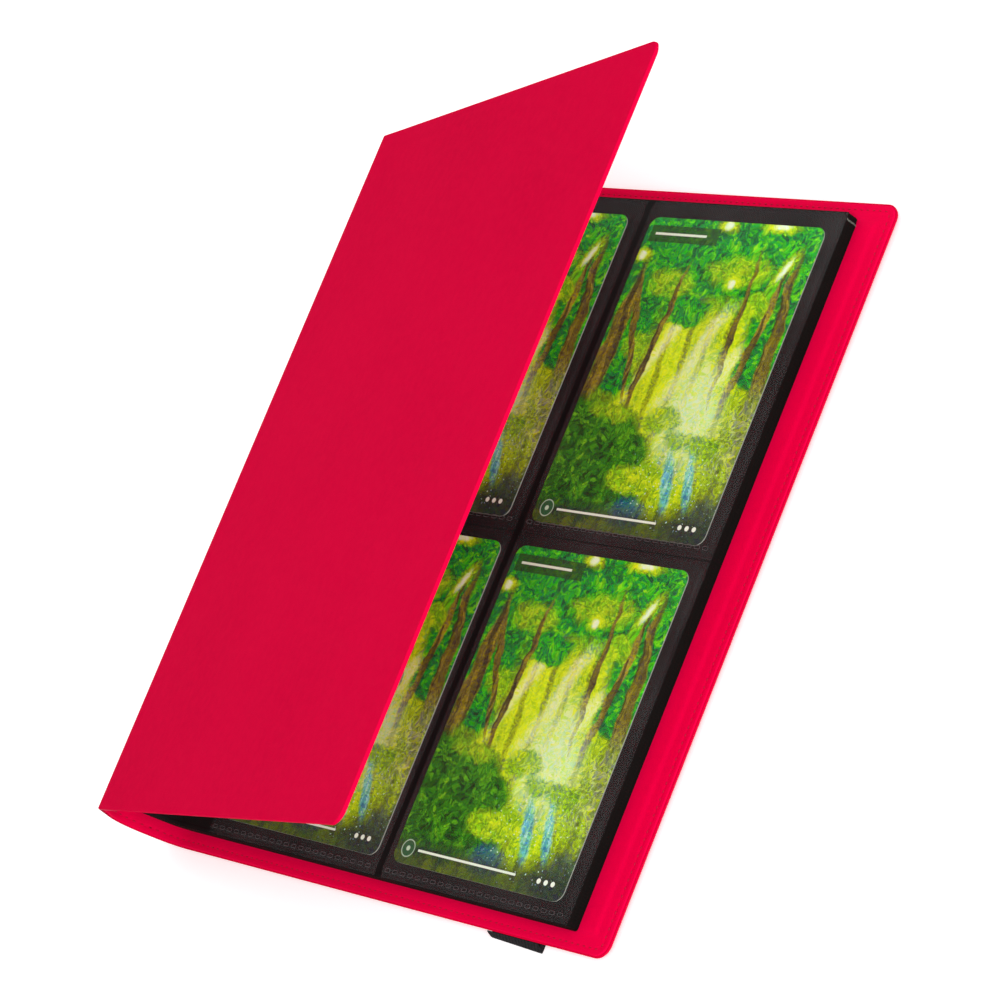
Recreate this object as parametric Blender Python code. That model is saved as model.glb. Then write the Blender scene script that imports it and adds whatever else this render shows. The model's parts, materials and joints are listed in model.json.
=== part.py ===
"""Soft-cover trading card binder, four pockets to a page side, standing open at 20 degrees.

The binder lies on its back cover. +X runs from the spine to the fore-edge, +Y up the page and +Z up.
The origin is on the surface it rests on, under the middle of the covers. Values are in metres and degrees.
"""

import math

import bpy

# Covers: outer skin, board and lining, sewn together round the edge.
COVER_HEIGHT = 0.2025
COVER_CORNER = 0.0040
BACK_WIDTH = 0.1695
FRONT_WIDTH = 0.1731
SKIN = 0.0005
BOARD = 0.0006
LINING = 0.00046
LAYER_GAP = 0.00002
BOARD_INSET = 0.0062
BOARD_TO_FOLD = 0.0065
FOLD_SETBACK = 0.00082

# Spine: two soft strips, folding along three lines.
SPINE_LOWER = 0.0161
SPINE_UPPER = 0.0155
LOWER_ANGLE = 135.0
UPPER_ANGLE = 60.0
FRONT_ANGLE = 20.0

# Elastic band round the back cover, near the fore-edge.
BAND_WIDTH = 0.0185
BAND_THICKNESS = 0.0012
BAND_GAP = 0.0003
BAND_FROM_EDGE = 0.0325
BAND_OVERHANG = 0.0014
BAND_END_RISE = 0.0008
BAND_TIGHT_OVERHANG = 0.00025
BAND_TIGHT_TOP = 0.0017
BAND_EDGE_GAP = 0.00005
BAND_TAB_DEPTH = 0.0050
BAND_TAB_INSET = 0.0010

# Page block: twenty leaves, bound at the spine edge.
LEAF_COUNT = 20
LEAF_WIDTH = 0.1527
LEAF_HEIGHT = 0.1928
LEAF_THICKNESS = 0.00017
LEAF_PITCH = 0.00019
LEAF_CORNER = 0.0008
LEAF_CUT_IN = 0.0004
LEAF_CUT_DOWN = 0.0018
LEAF_TO_FORE_EDGE = 0.0115
LEAF_GROUPS = ((1, 1), (2, 2), (3, 3), (4, 8), (9, 14), (15, 20))
BLOCK_GAP = 0.00005
ROOT_GAP = 0.0003
BINDING_BASE = 0.0042
BINDING_TOP = 0.0108
BINDING_RISE = 0.0094
BINDING_LIP = 0.0014
BINDING_LIP_DROP = 0.0009

# Pockets of the top leaf, measured from the leaf's fore-edge and its middle.
CARD_WIDTH = 0.0630
CARD_HEIGHT = 0.0880
CARD_THICKNESS = 0.00030
CARD_CORNER = 0.0030
CARD_TO_EDGE = 0.0050
ROW_PITCH = 0.0948
COLUMN_PITCH = 0.0719
FILM = 0.00008
FILM_GAP = 0.00003
FILM_TO_LEAF = 0.00001
CARD_TO_LEAF = 0.00002
FILM_WIDTH = 0.0680
FILM_HEIGHT = 0.0945
FILM_TO_EDGE = 0.0016
FILM_COLUMN_PITCH = 0.0707
WELD = 0.0018
CARD_SHIFTS = {"top_right": 0.0, "bottom_right": 0.0, "top_left": 0.0002, "bottom_left": 0.00265}

ARC_STEPS = 6

COVER = SKIN + BOARD + LINING + 2 * LAYER_GAP
BOARD_LEVEL = LINING + LAYER_GAP - COVER / 2
BACK_BOTTOM = BAND_THICKNESS + BAND_GAP
LINING_TOP = BACK_BOTTOM + COVER
FOLD_Z = BACK_BOTTOM + COVER / 2
SPINE_REACH = (
    -SPINE_LOWER * math.cos(math.radians(LOWER_ANGLE))
    - FOLD_SETBACK * math.cos(math.radians(UPPER_ANGLE))
    + COVER / 2 * math.sin(math.radians(UPPER_ANGLE))
)
FOLD_X = SPINE_REACH - (SPINE_REACH + BACK_WIDTH) / 2
FORE_EDGE_X = FOLD_X + BACK_WIDTH
LEAF_EDGE_X = FORE_EDGE_X - LEAF_TO_FORE_EDGE
LEAF_ROOT_X = LEAF_EDGE_X - LEAF_WIDTH
BLOCK_BOTTOM = LINING_TOP + BLOCK_GAP
LEAF_TOP = BLOCK_BOTTOM + (LEAF_COUNT - 1) * LEAF_PITCH + LEAF_THICKNESS


def finish(name, colour, roughness):
    material = bpy.data.materials.new(name)
    material.use_nodes = True
    shader = material.node_tree.nodes["Principled BSDF"]
    shader.inputs["Base Color"].default_value = (*colour, 1)
    shader.inputs["Roughness"].default_value = roughness
    shader.inputs["Metallic"].default_value = 0
    return material


def arc(centre, radius, start, end):
    """Points on an arc, its ends included, with angles in degrees."""
    angles = [math.radians(start + (end - start) * i / ARC_STEPS) for i in range(ARC_STEPS + 1)]
    return [(centre[0] + radius * math.cos(a), centre[1] + radius * math.sin(a)) for a in angles]


def rounded(x0, x1, half_height, fore_radius, root_radius=0.0):
    """Outline of a sheet, centred on Y: x0 is the edge at the spine, x1 the fore-edge."""
    points = []
    for x, side, y, radius, turn in (
        (x1, 1, half_height, fore_radius, 0),
        (x0, -1, half_height, root_radius, 90),
        (x0, -1, -half_height, root_radius, 180),
        (x1, 1, -half_height, fore_radius, 270),
    ):
        if radius:
            inwards = (x - side * radius, y - math.copysign(radius, y))
            points += arc(inwards, radius, turn, turn + 90)
        else:
            points.append((x, y))
    return points


def place(obj, material, parent, location=(0, 0, 0), rotation=(0, 0, 0)):
    obj.data.materials.append(material)
    obj.parent = parent
    obj.location = location
    obj.rotation_euler = rotation
    collection.objects.link(obj)
    return obj


def sheet(name, outline, low, high, material, parent, rotation=(0, 0, 0), location=(0, 0, 0)):
    """A flat piece: the outline filled between two levels of its own Z."""
    curve = bpy.data.curves.new(name, "CURVE")
    curve.dimensions = "2D"
    curve.fill_mode = "BOTH"
    curve.extrude = (high - low) / 2
    spline = curve.splines.new("POLY")
    spline.points.add(len(outline) - 1)
    spline.use_cyclic_u = True
    for point, (x, y) in zip(spline.points, outline):
        point.co = (x, y, 0, 1)
    obj = bpy.data.objects.new(name, curve)
    turned = (math.sin(rotation[0]), math.cos(rotation[0]))
    middle = (low + high) / 2
    offset = (location[0], location[1] - middle * turned[0], location[2] + middle * turned[1])
    return place(obj, material, parent, offset, rotation)


def axis(name, parent, x, z, angle=0.0):
    """An empty on a fold or hinge line, which runs along Y. It turns by the angle between X and Z."""
    empty = bpy.data.objects.new(name, None)
    empty.parent = parent
    empty.location = (x, 0, z)
    empty.rotation_euler = (0, -math.radians(angle), 0)
    collection.objects.link(empty)
    return empty


def covered_panel(name, parent, length, inner_name, free_edge, outward, finishes):
    """Three layers, from a fold line out to a free edge or to the next fold line."""
    end = length if free_edge else length - FOLD_SETBACK
    radius = COVER_CORNER if free_edge else 0.0
    inset = BOARD_INSET if free_edge else 0.0
    start = BOARD_TO_FOLD if free_edge else FOLD_SETBACK
    half = COVER_HEIGHT / 2
    whole = rounded(FOLD_SETBACK, end, half, radius)
    inner = rounded(start, end - inset, half - BOARD_INSET, 0.0)
    levels = (
        ("skin", whole, COVER / 2 - SKIN, COVER / 2),
        (inner_name, inner, BOARD_LEVEL, BOARD_LEVEL + BOARD),
        ("lining", whole, -COVER / 2, -COVER / 2 + LINING),
    )
    for layer, outline, low, high in levels:
        bottom, top = sorted((low * outward, high * outward))
        sheet(f"{name}_{layer}", outline, bottom, top, finishes[layer], parent)


def build_covers(root):
    finishes = {
        "skin": finish("red leatherette", (0.65, 0.003, 0.042), 0.6),
        "lining": finish("red lining", (0.77, 0.001, 0.051), 0.55),
        "board": finish("grey board", (0.3, 0.29, 0.27), 0.9),
        "interlining": finish("white fleece", (0.7, 0.7, 0.68), 0.95),
    }
    lower = axis("spine_base_axis", root, FOLD_X, FOLD_Z, LOWER_ANGLE)
    upper = axis("spine_middle_axis", lower, SPINE_LOWER, 0, UPPER_ANGLE - LOWER_ANGLE)
    front = axis("front_cover_axis", upper, SPINE_UPPER, 0, FRONT_ANGLE - UPPER_ANGLE)
    back = axis("back_cover_frame", root, FOLD_X, FOLD_Z)
    covered_panel("back_cover", back, BACK_WIDTH, "board", True, -1, finishes)
    covered_panel("spine_lower", lower, SPINE_LOWER, "interlining", False, 1, finishes)
    covered_panel("spine_upper", upper, SPINE_UPPER, "interlining", False, 1, finishes)
    covered_panel("front_cover", front, FRONT_WIDTH, "board", True, 1, finishes)


def build_band(root):
    """The band's run lies under the cover, and its ends turn up to tabs that are sewn into the edge seam.

    Its top end is drawn tight round the edge, pressed thin. The bottom end is looser and keeps its thickness.
    """
    elastic = finish("black elastic", (0.012, 0.012, 0.013), 0.85)
    x = FORE_EDGE_X - BAND_FROM_EDGE
    half_cover = COVER_HEIGHT / 2
    outer_radius = BAND_THICKNESS + BAND_GAP
    tight = half_cover + BAND_TIGHT_OVERHANG
    beside_edge = half_cover + BAND_EDGE_GAP
    top_end = arc((tight - outer_radius, outer_radius), outer_radius, -90, 0)
    top_end += [(tight, BAND_TIGHT_TOP), (beside_edge, BAND_TIGHT_TOP), (beside_edge, BAND_THICKNESS)]
    loose = -half_cover - BAND_OVERHANG
    loose_top = BACK_BOTTOM + BAND_END_RISE - BAND_GAP
    centre = (loose + outer_radius, outer_radius)
    bottom_end = arc(centre, BAND_GAP, -90, -180)
    bottom_end += [(loose + BAND_THICKNESS, loose_top), (loose, loose_top)]
    bottom_end += arc(centre, outer_radius, -180, -90)
    run = sheet("elastic_band", top_end + bottom_end, -BAND_WIDTH / 2, BAND_WIDTH / 2, elastic, root)
    run.rotation_euler = (math.pi / 2, 0, math.pi / 2)
    run.location = (x, 0, 0)
    low = FOLD_Z - BOARD_LEVEL - BOARD
    for name, side in (("top", 1), ("bottom", -1)):
        y0, y1 = sorted((side * (half_cover - BAND_TAB_DEPTH), side * (half_cover - BAND_TAB_INSET)))
        half = BAND_WIDTH / 2
        outline = [(x - half, y0), (x + half, y0), (x + half, y1), (x - half, y1)]
        sheet(f"band_tab_{name}", outline, low, low + BOARD, elastic, root)


def leaf_outline():
    """A leaf with its corner cut off at the top of the fore-edge, seen from its root."""
    half = LEAF_HEIGHT / 2
    foot = arc((LEAF_WIDTH - LEAF_CORNER, -half + LEAF_CORNER), LEAF_CORNER, -90, 0)
    return [(0, half), (0, -half), *foot, (LEAF_WIDTH, half - LEAF_CUT_DOWN), (LEAF_WIDTH - LEAF_CUT_IN, half)]


def build_binding(root, black):
    """The bound roots: a strip that starts under the leaves and climbs beside the spine."""
    x = LEAF_ROOT_X - ROOT_GAP
    base = BLOCK_BOTTOM
    outline = [
        (x, base),
        (x, LEAF_TOP),
        (x - BINDING_TOP + BINDING_LIP, base + BINDING_RISE),
        (x - BINDING_TOP, base + BINDING_RISE - BINDING_LIP_DROP),
        (x - BINDING_BASE, base),
    ]
    half = LEAF_HEIGHT / 2
    strip = sheet("page_binding", outline, -half, half, black, root)
    strip.rotation_euler = (math.pi / 2, 0, 0)
    strip.location = (0, 0, 0)


def build_leaves(root, black):
    """Each group of leaves turns on the group below it, so that lifting one lifts those above.

    All of them turn on one line, level with the top leaf, so that the bound roots stay clear of them.
    """
    outline = leaf_outline()
    parent = axis("leaf_hinge_line", root, LEAF_ROOT_X, LEAF_TOP)
    for first, last in reversed(LEAF_GROUPS):
        parent = axis(f"leaf_{first:02d}_axis", parent, 0, 0)
        for number in range(first, last + 1):
            low = (1 - number) * LEAF_PITCH - LEAF_THICKNESS
            sheet(f"leaf_{number:02d}", outline, low, low + LEAF_THICKNESS, black, parent)
    return parent


def build_pockets(leaf_axis):
    """Four clear films on the top leaf, each open towards the spine, with a card in each."""
    clear = finish("clear film", (0.6, 0.6, 0.62), 0.2)
    picture = finish("printed card", (0.12, 0.25, 0.05), 0.3)
    film_low = FILM_TO_LEAF
    card_low = CARD_TO_LEAF
    film_top = card_low + CARD_THICKNESS + FILM_GAP + FILM
    for column, column_name in ((0, "right"), (1, "left")):
        for row, row_name in ((1, "top"), (-1, "bottom")):
            name = f"{row_name}_{column_name}"
            y = row * ROW_PITCH / 2
            card_end = LEAF_WIDTH - CARD_TO_EDGE - column * COLUMN_PITCH + CARD_SHIFTS[name]
            card = rounded(-CARD_WIDTH, 0, CARD_HEIGHT / 2, CARD_CORNER, CARD_CORNER)
            place_at = (card_end, y, 0)
            sheet(
                f"card_{name}", card, card_low, card_low + CARD_THICKNESS, picture, leaf_axis,
                location=place_at,
            )
            film_end = LEAF_WIDTH - FILM_TO_EDGE - column * FILM_COLUMN_PITCH
            film = block(f"pocket_film_{name}", FILM_WIDTH, FILM_HEIGHT, film_top - film_low)
            centre = (film_end - FILM_WIDTH / 2, y, (film_top + film_low) / 2)
            place(film, clear, leaf_axis, centre)
            hollow_height = film_top - FILM - film_low
            hollow = block(f"pocket_hollow_{name}", FILM_WIDTH, FILM_HEIGHT - 2 * WELD, 2 * hollow_height)
            hollow.parent = leaf_axis
            hollow.location = (centre[0] - WELD, y, film_low)
            hollow.hide_render = True
            hollow.display_type = "WIRE"
            cutters.objects.link(hollow)
            cut = film.modifiers.new("pocket", "BOOLEAN")
            cut.operation = "DIFFERENCE"
            cut.solver = "EXACT"
            cut.object = hollow


def block(name, width, height, depth):
    """A box centred on its own origin, not yet in a collection."""
    bpy.ops.mesh.primitive_cube_add(size=1)
    obj = bpy.context.object
    obj.name = name
    obj.data.name = name
    for vertex in obj.data.vertices:
        vertex.co = (vertex.co.x * width, vertex.co.y * height, vertex.co.z * depth)
    for holder in list(obj.users_collection):
        holder.objects.unlink(obj)
    return obj


for old in list(bpy.data.objects):
    bpy.data.objects.remove(old)
collection = bpy.data.collections.new("card binder")
cutters = bpy.data.collections.new("cutters")
for made in (collection, cutters):
    bpy.context.scene.collection.children.link(made)

binder = bpy.data.objects.new("binder", None)
collection.objects.link(binder)
black_film = finish("black page film", (0.02, 0.018, 0.02), 0.5)
build_covers(binder)
build_band(binder)
build_binding(binder, black_film)
build_pockets(build_leaves(binder, black_film))
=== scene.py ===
"""Soft-cover trading card binder, lying on its back cover with the front cover standing open.

Everything is in metres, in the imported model's own frame: X from the spine to the fore-edge, Y up the
page, Z up.
"""

import json
import math

import bmesh
import bpy
import numpy as np
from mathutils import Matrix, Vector


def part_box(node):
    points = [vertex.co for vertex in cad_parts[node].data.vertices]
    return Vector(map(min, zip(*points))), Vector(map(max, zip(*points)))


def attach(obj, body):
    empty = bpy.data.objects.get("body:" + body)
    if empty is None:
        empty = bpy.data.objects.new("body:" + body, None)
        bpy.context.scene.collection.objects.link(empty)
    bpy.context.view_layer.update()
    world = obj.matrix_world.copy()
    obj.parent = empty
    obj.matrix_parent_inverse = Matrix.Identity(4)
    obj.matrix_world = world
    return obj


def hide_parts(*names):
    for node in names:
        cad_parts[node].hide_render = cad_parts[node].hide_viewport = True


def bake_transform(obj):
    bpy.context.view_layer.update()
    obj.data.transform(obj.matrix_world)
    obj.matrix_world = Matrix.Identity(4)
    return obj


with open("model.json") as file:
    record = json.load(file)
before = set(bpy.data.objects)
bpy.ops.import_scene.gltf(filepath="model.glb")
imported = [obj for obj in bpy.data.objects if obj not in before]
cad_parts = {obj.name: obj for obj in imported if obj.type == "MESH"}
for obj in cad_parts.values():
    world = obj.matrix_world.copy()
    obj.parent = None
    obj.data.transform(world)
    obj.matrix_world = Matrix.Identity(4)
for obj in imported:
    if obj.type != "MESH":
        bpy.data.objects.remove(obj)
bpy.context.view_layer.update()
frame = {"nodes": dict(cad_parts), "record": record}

# ---------------------------------------------------------------------------------------------
# Camera. It looks down from the fore-edge side at about 40 degrees, from a metre away through a
# long lens, and is rolled so that the pages run up to the right.

camera_data = bpy.data.cameras.new("camera")
camera_data.sensor_width = 36
camera_data.lens = 144.2
camera_data.clip_start = 0.05
camera = bpy.data.objects.new("camera", camera_data)
camera.location = (0.76845, -0.21476, 0.67294)
camera.rotation_euler = [math.radians(a) for a in (33.086, 40.362, 29.078)]
bpy.context.scene.collection.objects.link(camera)
bpy.context.scene.camera = camera

# ---------------------------------------------------------------------------------------------
# Studio. A pale laminate table under even light from a white room, a broad soft light on the
# fore-edge side that reaches in under the front cover, and a weaker one over the spine.


def linear(hex_colour):
    """An sRGB colour such as #C8102E as linear red, green, blue and alpha."""
    parts = [int(hex_colour[i : i + 2], 16) / 255 for i in (1, 3, 5)]
    return tuple(c / 12.92 if c <= 0.04045 else ((c + 0.055) / 1.055) ** 2.4 for c in parts) + (1.0,)


def add(tree, kind, values=None, **settings):
    """Adds a node. values holds its inputs by name or number, each a value or another node's output."""
    made = tree.nodes.new(kind)
    for key, value in settings.items():
        setattr(made, key, value)
    for key, value in (values or {}).items():
        if isinstance(value, bpy.types.NodeSocket):
            tree.links.new(value, made.inputs[key])
        else:
            made.inputs[key].default_value = value
    return made


def new_material(name, roughness, specular=0.5):
    """A material with only an output and a Principled shader."""
    made = bpy.data.materials.new(name)
    made.use_nodes = True
    tree = made.node_tree
    tree.nodes.clear()
    shader = add(tree, "ShaderNodeBsdfPrincipled", {"Roughness": roughness, "Specular IOR Level": specular})
    add(tree, "ShaderNodeOutputMaterial", {"Surface": shader.outputs[0]})
    return made, tree, shader


def two_tone(name, roughness, specular, noise, first, second):
    """A material whose colour drifts by noise from one tone to another."""
    made, tree, shader = new_material(name, roughness, specular)
    drift = add(tree, "ShaderNodeTexNoise", noise)
    mixed = add(
        tree, "ShaderNodeMix", {0: drift.outputs["Fac"], 6: linear(first), 7: linear(second)},
        data_type="RGBA",
    )
    tree.links.new(mixed.outputs[2], shader.inputs["Base Color"])
    return made


def area_light(name, location, size, power):
    data = bpy.data.lights.new(name, "AREA")
    data.shape = "DISK"
    data.size = size
    data.energy = power
    light = bpy.data.objects.new(name, data)
    light.location = location
    light.rotation_euler = (-Vector(location)).to_track_quat("-Z", "Y").to_euler()
    bpy.context.scene.collection.objects.link(light)


area_light("fore_edge_softbox", (0.95, -0.25, 0.75), 1.0, 12.5)
area_light("spine_softbox", (-0.5, 0.3, 1.2), 0.8, 3)
room = bpy.data.worlds.new("white room")
room.use_nodes = True
room.node_tree.nodes["Background"].inputs["Color"].default_value = (1, 1, 1, 1)
room.node_tree.nodes["Background"].inputs["Strength"].default_value = 0.68
bpy.context.scene.world = room
bpy.context.scene.view_settings.view_transform = "Standard"

bpy.ops.mesh.primitive_plane_add(size=6)
table = bpy.context.object
table.name = "table"
laminate = two_tone("pale matt laminate", 0.9, 0.1, {"Scale": 3.0}, "#F8F8F8", "#FBFBFB")
# A little light of its own keeps the table white all over, as a lit sweep is in a studio.
laminate_inputs = laminate.node_tree.nodes["Principled BSDF"].inputs
laminate_inputs["Emission Color"].default_value = (1, 1, 1, 1)
laminate_inputs["Emission Strength"].default_value = 0.22
table.data.materials.append(laminate)

# ---------------------------------------------------------------------------------------------
# Covers and spine. One strip of leatherette outside and one of lining inside run from fore-edge
# to fore-edge. Boards lie between them in the covers and fleece in the spine, and the two are
# sewn together round the edge, where the cover is thinner.

joint_at = {j["name"]: Vector(j["pos_m"]) for j in frame["record"]["behaviour"]["joints"] if "pos_m" in j}
back_low, back_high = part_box("back_cover_skin")
half_cover = (back_high.y - back_low.y) / 2
fore_edge = back_high.x
front_width = 0.1731
front_angle = math.radians(20)
cover_corner = 0.004
sewn_margin = 0.0043
seam_inset = 0.0021
lining_short = 0.0004
board_inset = 0.0062
skin_thickness = 0.00084
glue_level = -0.0001
lining_thickness = 0.00038
channel_depth = 0.0001
channel_half_width = 0.0005
broad_step = 0.010

base_fold = joint_at["spine_base_fold"]
middle_fold = joint_at["spine_middle_fold"]
ridge_fold = joint_at["front_cover_fold"]


def rounded_path(points, tangents):
    """Straight runs between points, with each corner rounded over its tangent length.

    Returns a function from distance along the path to x, z and the path's angle, and the distances
    at which the runs and arcs end.
    """
    runs = []
    previous_cut = 0.0
    for i in range(len(points) - 1):
        step = points[i + 1] - points[i]
        length = math.hypot(step.x, step.z)
        angle = math.atan2(step.z, step.x)
        cut = tangents[i] if i < len(tangents) else 0.0
        runs.append((points[i] + step * (previous_cut / length), angle, length - previous_cut - cut, 0.0))
        if cut:
            following = points[i + 2] - points[i + 1]
            turn = math.atan2(following.z, following.x) - angle
            radius = cut / math.tan(abs(turn) / 2)
            runs.append((points[i + 1] - step * (cut / length), angle, radius * abs(turn), turn))
        previous_cut = cut
    ends = list(np.cumsum([run[2] for run in runs]))

    def at(distance):
        index = next((i for i, end in enumerate(ends) if distance <= end), len(ends) - 1)
        start, angle, length, turn = runs[index]
        along = distance - (ends[index] - length)
        if not turn:
            return start.x + along * math.cos(angle), start.z + along * math.sin(angle), angle
        radius = length / turn
        now = angle + turn * along / length
        x = start.x + radius * (math.sin(now) - math.sin(angle))
        return x, start.z - radius * (math.cos(now) - math.cos(angle)), now

    return at, ends


front_end = ridge_fold + front_width * Vector((math.cos(front_angle), 0, math.sin(front_angle)))
cover_at, run_ends = rounded_path(
    [Vector((fore_edge, 0, base_fold.z)), base_fold, middle_fold, ridge_fold, front_end],
    [0.0058, 0.0066, 0.0007],
)
back_flat, base_arc, lower_flat, middle_arc, upper_flat, ridge_arc, cover_length = run_ends
split_lower = (base_arc + lower_flat) / 2
split_upper = (middle_arc + upper_flat) / 2


def on_cover(distance, y, level):
    """A point at a level above the cover's middle surface, positive outwards."""
    x, z, angle = cover_at(distance)
    return (x - level * math.sin(angle), y, z + level * math.cos(angle))


def spaced(start, end, step):
    count = max(1, round((end - start) / step))
    return [start + (end - start) * i / count for i in range(count + 1)]


edge_steps = [mm / 1000 for mm in (0, 0.02, 0.06, 0.12, 0.2, 0.35, 0.55, 0.8, 1.1, 1.4, 1.7, 1.9, 2.1, 2.3)]
edge_steps += [mm / 1000 for mm in (2.6, 3.0, 3.5, 4.2, 4.6, 5.0, 5.4, 5.8, 6.2, 6.6, 7.5, 10.0)]


def columns(start, end):
    """Distances along the cover, close together at a free edge and round each fold."""
    marks = spaced(start, end, broad_step)
    if start == 0:
        marks += edge_steps
    if end == cover_length:
        marks += [cover_length - step for step in edge_steps]
    for low, high, step in (
        (back_flat - 0.004, base_arc + 0.003, 0.0009),
        (lower_flat, middle_arc, 0.0007),
        (upper_flat - 0.002, ridge_arc + 0.002, 0.0002),
    ):
        marks += [mark for mark in spaced(low, high, step) if start < mark < end]
    kept = [start]
    for mark in sorted(marks):
        if mark - kept[-1] > 0.00003:
            kept.append(mark)
    kept[-1] = end
    return kept


def half_height_at(from_end, inset):
    """Half the height of a layer at a distance from the cover's end, with the rounded corner."""
    if from_end >= cover_corner:
        return half_cover - inset
    short = min(cover_corner - from_end, cover_corner - inset)
    return half_cover - cover_corner + math.sqrt(max(0.0, (cover_corner - inset) ** 2 - short**2))


def edge_distance(from_end, y):
    """Distance from a point of the cover to its outline."""
    from_side = half_cover - abs(y)
    if from_end < cover_corner and from_side < cover_corner:
        return cover_corner - math.hypot(cover_corner - from_end, cover_corner - from_side)
    return min(from_end, from_side)


def smooth(value, low, high):
    t = min(1.0, max(0.0, (value - low) / (high - low)))
    return t * t * (3 - 2 * t)


def quarter_round(distance, radius):
    """Height of a quarter circle, from 0 at the edge to 1 a radius in."""
    return math.sqrt(max(0.0, 1 - max(0.0, 1 - distance / radius) ** 2))


def skin_levels(distance, along):
    """Outer and inner face of the leatherette. It rolls over at the edge and rises over the board.

    It stays full at the ridge, where it is folded sharply.
    """
    at_ridge = 1 - smooth(abs(along - ridge_arc), 0.003, 0.012)
    over_board = max(smooth(distance, sewn_margin, board_inset), at_ridge)
    outer = glue_level + (skin_thickness + 0.00006 * over_board) * quarter_round(distance, 0.00028)
    return outer, glue_level + 0.0004 * over_board


def lining_levels(distance, along):
    """Outer and inner face of the lining, with the shallow channel that the seam draws into it."""
    over_board = smooth(distance, sewn_margin, board_inset)
    outer = -0.00014 - 0.00020 * over_board
    from_seam = abs(distance - seam_inset + lining_short)
    channel = channel_depth * max(0.0, 1 - from_seam / channel_half_width)
    thickness = (lining_thickness + 0.00008 * over_board) * quarter_round(distance, 0.0003)
    return outer, outer - thickness + channel


def fleece_levels(distance, along):
    return 0.00027, -0.00031


def finished(name, mesh):
    """Links the mesh as an object, with its faces outwards and smooth except at sharp edges."""
    work = bmesh.new()
    work.from_mesh(mesh)
    bmesh.ops.remove_doubles(work, verts=work.verts, dist=1e-7)
    bmesh.ops.recalc_face_normals(work, faces=work.faces)
    work.to_mesh(mesh)
    work.free()
    mesh.shade_smooth()
    mesh.set_sharp_from_angle(angle=math.radians(40))
    obj = bpy.data.objects.new(name, mesh)
    bpy.context.scene.collection.objects.link(obj)
    return obj


def between(name, outer, inner, materials):
    """A closed sheet between two grids of points. Its rim takes the last material."""
    rows, count = len(outer), len(outer[0])
    behind = rows * count
    faces = []
    for i in range(rows - 1):
        for j in range(count - 1):
            a, b = i * count + j, (i + 1) * count + j
            faces.append((a, b, b + 1, a + 1))
            faces.append((behind + a, behind + a + 1, behind + b + 1, behind + b))
    broad = len(faces)
    rim = list(range(count)) + [i * count + count - 1 for i in range(1, rows)]
    rim += list(range(rows * count - 2, (rows - 1) * count - 1, -1))
    rim += [i * count for i in range(rows - 2, 0, -1)]
    faces += [(a, b, behind + b, behind + a) for a, b in zip(rim, rim[1:] + rim[:1])]
    mesh = bpy.data.meshes.new(name)
    mesh.from_pydata([p for grid in (outer, inner) for row in grid for p in row], [], faces)
    for material in materials:
        mesh.materials.append(material)
    for face in mesh.polygons:
        face.material_index = 0 if face.index < broad else len(materials) - 1
    return finished(name, mesh)


def cover_layer(name, start, end, levels, inset, materials):
    """A strip of one layer from one distance along the cover to another, narrower by an inset."""
    outer, inner = [], []
    first = inset if start == 0 else start
    last = cover_length - inset if end == cover_length else end
    for distance in columns(start, end):
        distance = min(max(distance, first), last)
        from_end = min(distance, cover_length - distance)
        half = half_height_at(from_end, inset)
        side = [half - step for step in edge_steps]
        ys = side + spaced(side[-1], -side[-1], broad_step)[1:-1] + [-y for y in reversed(side)]
        pairs = [levels(max(0.0, edge_distance(from_end, y) - inset), distance) for y in ys]
        outer.append([on_cover(distance, y, pair[0]) for y, pair in zip(ys, pairs)])
        inner.append([on_cover(distance, y, pair[1]) for y, pair in zip(ys, pairs)])
    return between(name, outer, inner, materials)


def leatherette(name, colour, shade, specular, grain_mm, grain_depth):
    """Polyurethane leatherette, calendered to a fine matt grain, with no glare. Its colour mottles at random,
    and the grain's valleys are painted darker as shade.
    """
    made, tree, shader = new_material(name, 0.6, specular)
    place = add(tree, "ShaderNodeTexCoord").outputs["Object"]
    cloudy = add(tree, "ShaderNodeTexNoise", {"Vector": place, "Scale": 18.0, "Detail": 2.0})
    mottle = add(tree, "ShaderNodeTexNoise", {"Vector": place, "Scale": 420.0, "Detail": 3.0})
    pebble = add(
        tree, "ShaderNodeTexVoronoi", {"Vector": place, "Scale": 1000 / grain_mm}, feature="DISTANCE_TO_EDGE"
    )
    raised = add(tree, "ShaderNodeMapRange", {"Value": pebble.outputs["Distance"], "From Max": 0.2})
    tone = add(
        tree, "ShaderNodeMath", {0: mottle.outputs["Fac"], 1: cloudy.outputs["Fac"]}, operation="MULTIPLY"
    )
    # Painted shade: the grain's valleys are darker, over a random mottle.
    mottle_and_valley_shade = add(
        tree, "ShaderNodeMath", {0: raised.outputs[0], 1: -0.25, 2: tone.outputs[0]}, operation="MULTIPLY_ADD"
    )
    spread = add(tree, "ShaderNodeMapRange", {"Value": mottle_and_valley_shade.outputs[0], "From Min": -0.15, "From Max": 0.4})
    mixed = add(
        tree, "ShaderNodeMix", {0: spread.outputs[0], 6: linear(colour), 7: linear(shade)}, data_type="RGBA"
    )
    tree.links.new(mixed.outputs[2], shader.inputs["Base Color"])
    bump = add(
        tree, "ShaderNodeBump", {"Height": raised.outputs[0], "Distance": grain_depth, "Strength": 0.5}
    )
    tree.links.new(bump.outputs[0], shader.inputs["Normal"])
    gloss = add(
        tree, "ShaderNodeMapRange", {"Value": mottle.outputs["Fac"], "To Min": 0.52, "To Max": 0.68}
    )
    tree.links.new(gloss.outputs[0], shader.inputs["Roughness"])
    return made


outer_leather = leatherette("red calendered leatherette", "#D40439", "#C60334", 0.0015, 0.5, 0.00005)
inner_leather = leatherette("red smooth leatherette lining", "#E20041", "#D8003D", 0.015, 0.35, 0.00002)

# The knitted backing of the leatherette shows along its cut edge as a dull pink line.
knit = {"Scale": 1600.0, "Detail": 2.0}
backing = two_tone("pink knitted backing, cut", 0.9, 0.1, knit, "#8E2440", "#D0647C")

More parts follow.
